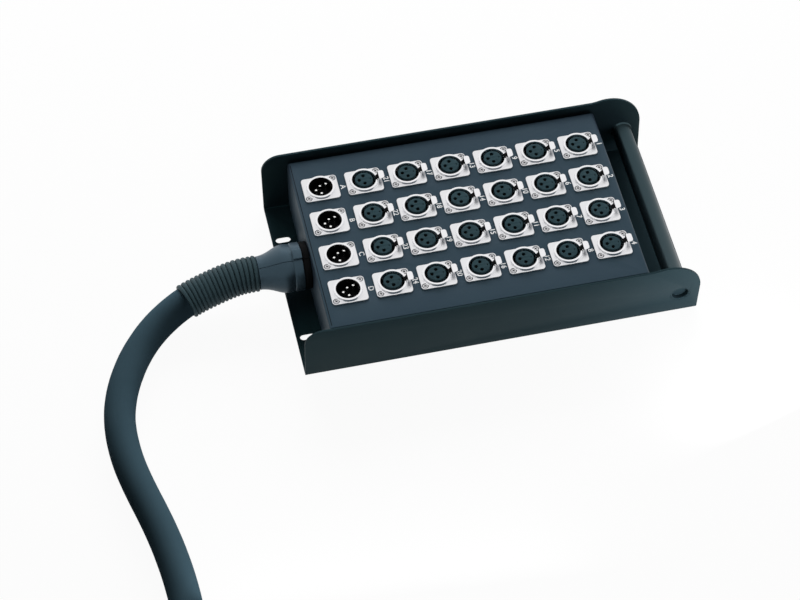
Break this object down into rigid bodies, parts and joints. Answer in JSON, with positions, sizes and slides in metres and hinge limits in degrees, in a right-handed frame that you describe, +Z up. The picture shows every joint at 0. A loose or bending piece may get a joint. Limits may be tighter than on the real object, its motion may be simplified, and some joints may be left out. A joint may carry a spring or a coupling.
{
  "type": "stage box snake",
  "caption": "Low metal stage box with latching panel sockets in a folded tray with a tube handle, its thick multicore cable leaving through a ribbed sleeve to a coil.",
  "frame": {"origin": "under the middle of the tray, on the surface that it stands on, measured without the cable, its gland, sleeve and far connector", "axes": "+X along the box from the cable end to the handle, +Y across to the side with the first row of sockets, +Z up"},
  "size_m": [0.5163, 0.9003, 0.1337],
  "materials": {
    "tray_paint": "fine satin powder coat, dark blue-grey",
    "tube_paint": "satin powder coat, dark blue-grey",
    "cover_paint": "fine satin powder coat, dark blue-grey",
    "socket_nickel": "satin nickel plate on die-cast zinc",
    "latch_nickel": "satin nickel plate",
    "gland_moulding": "satin moulded plastic, dark grey",
    "sleeve_rubber": "satin moulded rubber, dark grey",
    "cable_sheath": "smooth satin sheath, dark blue-grey",
    "connector_shell": "satin anodised"
  },
  "bodies": {
    "stage_box": {"tray": "tray_paint", "handle_tube": "tube_paint", "connector_box_cover": "cover_paint", "return_socket_A": "socket_nickel", "return_socket_B": "socket_nickel", "return_socket_C": "socket_nickel", "return_socket_D": "socket_nickel", "send_socket_01": "socket_nickel", "send_socket_02": "socket_nickel", "send_socket_03": "socket_nickel", "send_socket_04": "socket_nickel", "send_socket_05": "socket_nickel", "send_socket_06": "socket_nickel", "send_socket_07": "socket_nickel", "send_socket_08": "socket_nickel", "send_socket_09": "socket_nickel", "send_socket_10": "socket_nickel", "send_socket_11": "socket_nickel", "send_socket_12": "socket_nickel", "send_socket_13": "socket_nickel", "send_socket_14": "socket_nickel", "send_socket_15": "socket_nickel", "send_socket_16": "socket_nickel", "send_socket_17": "socket_nickel", "send_socket_18": "socket_nickel", "send_socket_19": "socket_nickel", "send_socket_20": "socket_nickel", "send_socket_21": "socket_nickel", "send_socket_22": "socket_nickel", "send_socket_23": "socket_nickel", "send_socket_24": "socket_nickel", "cable_gland": "gland_moulding", "ribbed_sleeve": "sleeve_rubber", "cable": "cable_sheath", "cable_coil": "cable_sheath", "multipin_connector": "connector_shell"},
    "latch_01": {"latch_01": "latch_nickel"},
    "latch_02": {"latch_02": "latch_nickel"},
    "latch_03": {"latch_03": "latch_nickel"},
    "latch_04": {"latch_04": "latch_nickel"},
    "latch_05": {"latch_05": "latch_nickel"},
    "latch_06": {"latch_06": "latch_nickel"},
    "latch_07": {"latch_07": "latch_nickel"},
    "latch_08": {"latch_08": "latch_nickel"},
    "latch_09": {"latch_09": "latch_nickel"},
    "latch_10": {"latch_10": "latch_nickel"},
    "latch_11": {"latch_11": "latch_nickel"},
    "latch_12": {"latch_12": "latch_nickel"},
    "latch_13": {"latch_13": "latch_nickel"},
    "latch_14": {"latch_14": "latch_nickel"},
    "latch_15": {"latch_15": "latch_nickel"},
    "latch_16": {"latch_16": "latch_nickel"},
    "latch_17": {"latch_17": "latch_nickel"},
    "latch_18": {"latch_18": "latch_nickel"},
    "latch_19": {"latch_19": "latch_nickel"},
    "latch_20": {"latch_20": "latch_nickel"},
    "latch_21": {"latch_21": "latch_nickel"},
    "latch_22": {"latch_22": "latch_nickel"},
    "latch_23": {"latch_23": "latch_nickel"},
    "latch_24": {"latch_24": "latch_nickel"}
  },
  "joints": [
    {"name": "press_latch_01", "type": "hinge", "parent": "stage_box", "child": "latch_01", "pos_m": [0.11345, 0.05715, 0.0609], "axis": [0, 1, 0], "range_deg": [0, 10], "stiffness_Nm_per_rad": 0.13, "springref_deg": -2.86},
    {"name": "press_latch_02", "type": "hinge", "parent": "stage_box", "child": "latch_02", "pos_m": [0.11345, 0.01905, 0.0609], "axis": [0, 1, 0], "range_deg": [0, 10], "stiffness_Nm_per_rad": 0.13, "springref_deg": -2.86},
    {"name": "press_latch_03", "type": "hinge", "parent": "stage_box", "child": "latch_03", "pos_m": [0.11345, -0.01905, 0.0609], "axis": [0, 1, 0], "range_deg": [0, 10], "stiffness_Nm_per_rad": 0.13, "springref_deg": -2.86},
    {"name": "press_latch_04", "type": "hinge", "parent": "stage_box", "child": "latch_04", "pos_m": [0.11345, -0.05715, 0.0609], "axis": [0, 1, 0], "range_deg": [0, 10], "stiffness_Nm_per_rad": 0.13, "springref_deg": -2.86},
    {"name": "press_latch_05", "type": "hinge", "parent": "stage_box", "child": "latch_05", "pos_m": [0.07535, 0.05715, 0.0609], "axis": [0, 1, 0], "range_deg": [0, 10], "stiffness_Nm_per_rad": 0.13, "springref_deg": -2.86},
    {"name": "press_latch_06", "type": "hinge", "parent": "stage_box", "child": "latch_06", "pos_m": [0.07535, 0.01905, 0.0609], "axis": [0, 1, 0], "range_deg": [0, 10], "stiffness_Nm_per_rad": 0.13, "springref_deg": -2.86},
    {"name": "press_latch_07", "type": "hinge", "parent": "stage_box", "child": "latch_07", "pos_m": [0.07535, -0.01905, 0.0609], "axis": [0, 1, 0], "range_deg": [0, 10], "stiffness_Nm_per_rad": 0.13, "springref_deg": -2.86},
    {"name": "press_latch_08", "type": "hinge", "parent": "stage_box", "child": "latch_08", "pos_m": [0.07535, -0.05715, 0.0609], "axis": [0, 1, 0], "range_deg": [0, 10], "stiffness_Nm_per_rad": 0.13, "springref_deg": -2.86},
    {"name": "press_latch_09", "type": "hinge", "parent": "stage_box", "child": "latch_09", "pos_m": [0.03725, 0.05715, 0.0609], "axis": [0, 1, 0], "range_deg": [0, 10], "stiffness_Nm_per_rad": 0.13, "springref_deg": -2.86},
    {"name": "press_latch_10", "type": "hinge", "parent": "stage_box", "child": "latch_10", "pos_m": [0.03725, 0.01905, 0.0609], "axis": [0, 1, 0], "range_deg": [0, 10], "stiffness_Nm_per_rad": 0.13, "springref_deg": -2.86},
    {"name": "press_latch_11", "type": "hinge", "parent": "stage_box", "child": "latch_11", "pos_m": [0.03725, -0.01905, 0.0609], "axis": [0, 1, 0], "range_deg": [0, 10], "stiffness_Nm_per_rad": 0.13, "springref_deg": -2.86},
    {"name": "press_latch_12", "type": "hinge", "parent": "stage_box", "child": "latch_12", "pos_m": [0.03725, -0.05715, 0.0609], "axis": [0, 1, 0], "range_deg": [0, 10], "stiffness_Nm_per_rad": 0.13, "springref_deg": -2.86},
    {"name": "press_latch_13", "type": "hinge", "parent": "stage_box", "child": "latch_13", "pos_m": [-0.00085, 0.05715, 0.0609], "axis": [0, 1, 0], "range_deg": [0, 10], "stiffness_Nm_per_rad": 0.13, "springref_deg": -2.86},
    {"name": "press_latch_14", "type": "hinge", "parent": "stage_box", "child": "latch_14", "pos_m": [-0.00085, 0.01905, 0.0609], "axis": [0, 1, 0], "range_deg": [0, 10], "stiffness_Nm_per_rad": 0.13, "springref_deg": -2.86},
    {"name": "press_latch_15", "type": "hinge", "parent": "stage_box", "child": "latch_15", "pos_m": [-0.00085, -0.01905, 0.0609], "axis": [0, 1, 0], "range_deg": [0, 10], "stiffness_Nm_per_rad": 0.13, "springref_deg": -2.86},
    {"name": "press_latch_16", "type": "hinge", "parent": "stage_box", "child": "latch_16", "pos_m": [-0.00085, -0.05715, 0.0609], "axis": [0, 1, 0], "range_deg": [0, 10], "stiffness_Nm_per_rad": 0.13, "springref_deg": -2.86},
    {"name": "press_latch_17", "type": "hinge", "parent": "stage_box", "child": "latch_17", "pos_m": [-0.03895, 0.05715, 0.0609], "axis": [0, 1, 0], "range_deg": [0, 10], "stiffness_Nm_per_rad": 0.13, "springref_deg": -2.86},
    {"name": "press_latch_18", "type": "hinge", "parent": "stage_box", "child": "latch_18", "pos_m": [-0.03895, 0.01905, 0.0609], "axis": [0, 1, 0], "range_deg": [0, 10], "stiffness_Nm_per_rad": 0.13, "springref_deg": -2.86},
    {"name": "press_latch_19", "type": "hinge", "parent": "stage_box", "child": "latch_19", "pos_m": [-0.03895, -0.01905, 0.0609], "axis": [0, 1, 0], "range_deg": [0, 10], "stiffness_Nm_per_rad": 0.13, "springref_deg": -2.86},
    {"name": "press_latch_20", "type": "hinge", "parent": "stage_box", "child": "latch_20", "pos_m": [-0.03895, -0.05715, 0.0609], "axis": [0, 1, 0], "range_deg": [0, 10], "stiffness_Nm_per_rad": 0.13, "springref_deg": -2.86},
    {"name": "press_latch_21", "type": "hinge", "parent": "stage_box", "child": "latch_21", "pos_m": [-0.07705, 0.05715, 0.0609], "axis": [0, 1, 0], "range_deg": [0, 10], "stiffness_Nm_per_rad": 0.13, "springref_deg": -2.86},
    {"name": "press_latch_22", "type": "hinge", "parent": "stage_box", "child": "latch_22", "pos_m": [-0.07705, 0.01905, 0.0609], "axis": [0, 1, 0], "range_deg": [0, 10], "stiffness_Nm_per_rad": 0.13, "springref_deg": -2.86},
    {"name": "press_latch_23", "type": "hinge", "parent": "stage_box", "child": "latch_23", "pos_m": [-0.07705, -0.01905, 0.0609], "axis": [0, 1, 0], "range_deg": [0, 10], "stiffness_Nm_per_rad": 0.13, "springref_deg": -2.86},
    {"name": "press_latch_24", "type": "hinge", "parent": "stage_box", "child": "latch_24", "pos_m": [-0.07705, -0.05715, 0.0609], "axis": [0, 1, 0], "range_deg": [0, 10], "stiffness_Nm_per_rad": 0.13, "springref_deg": -2.86}
  ]
}
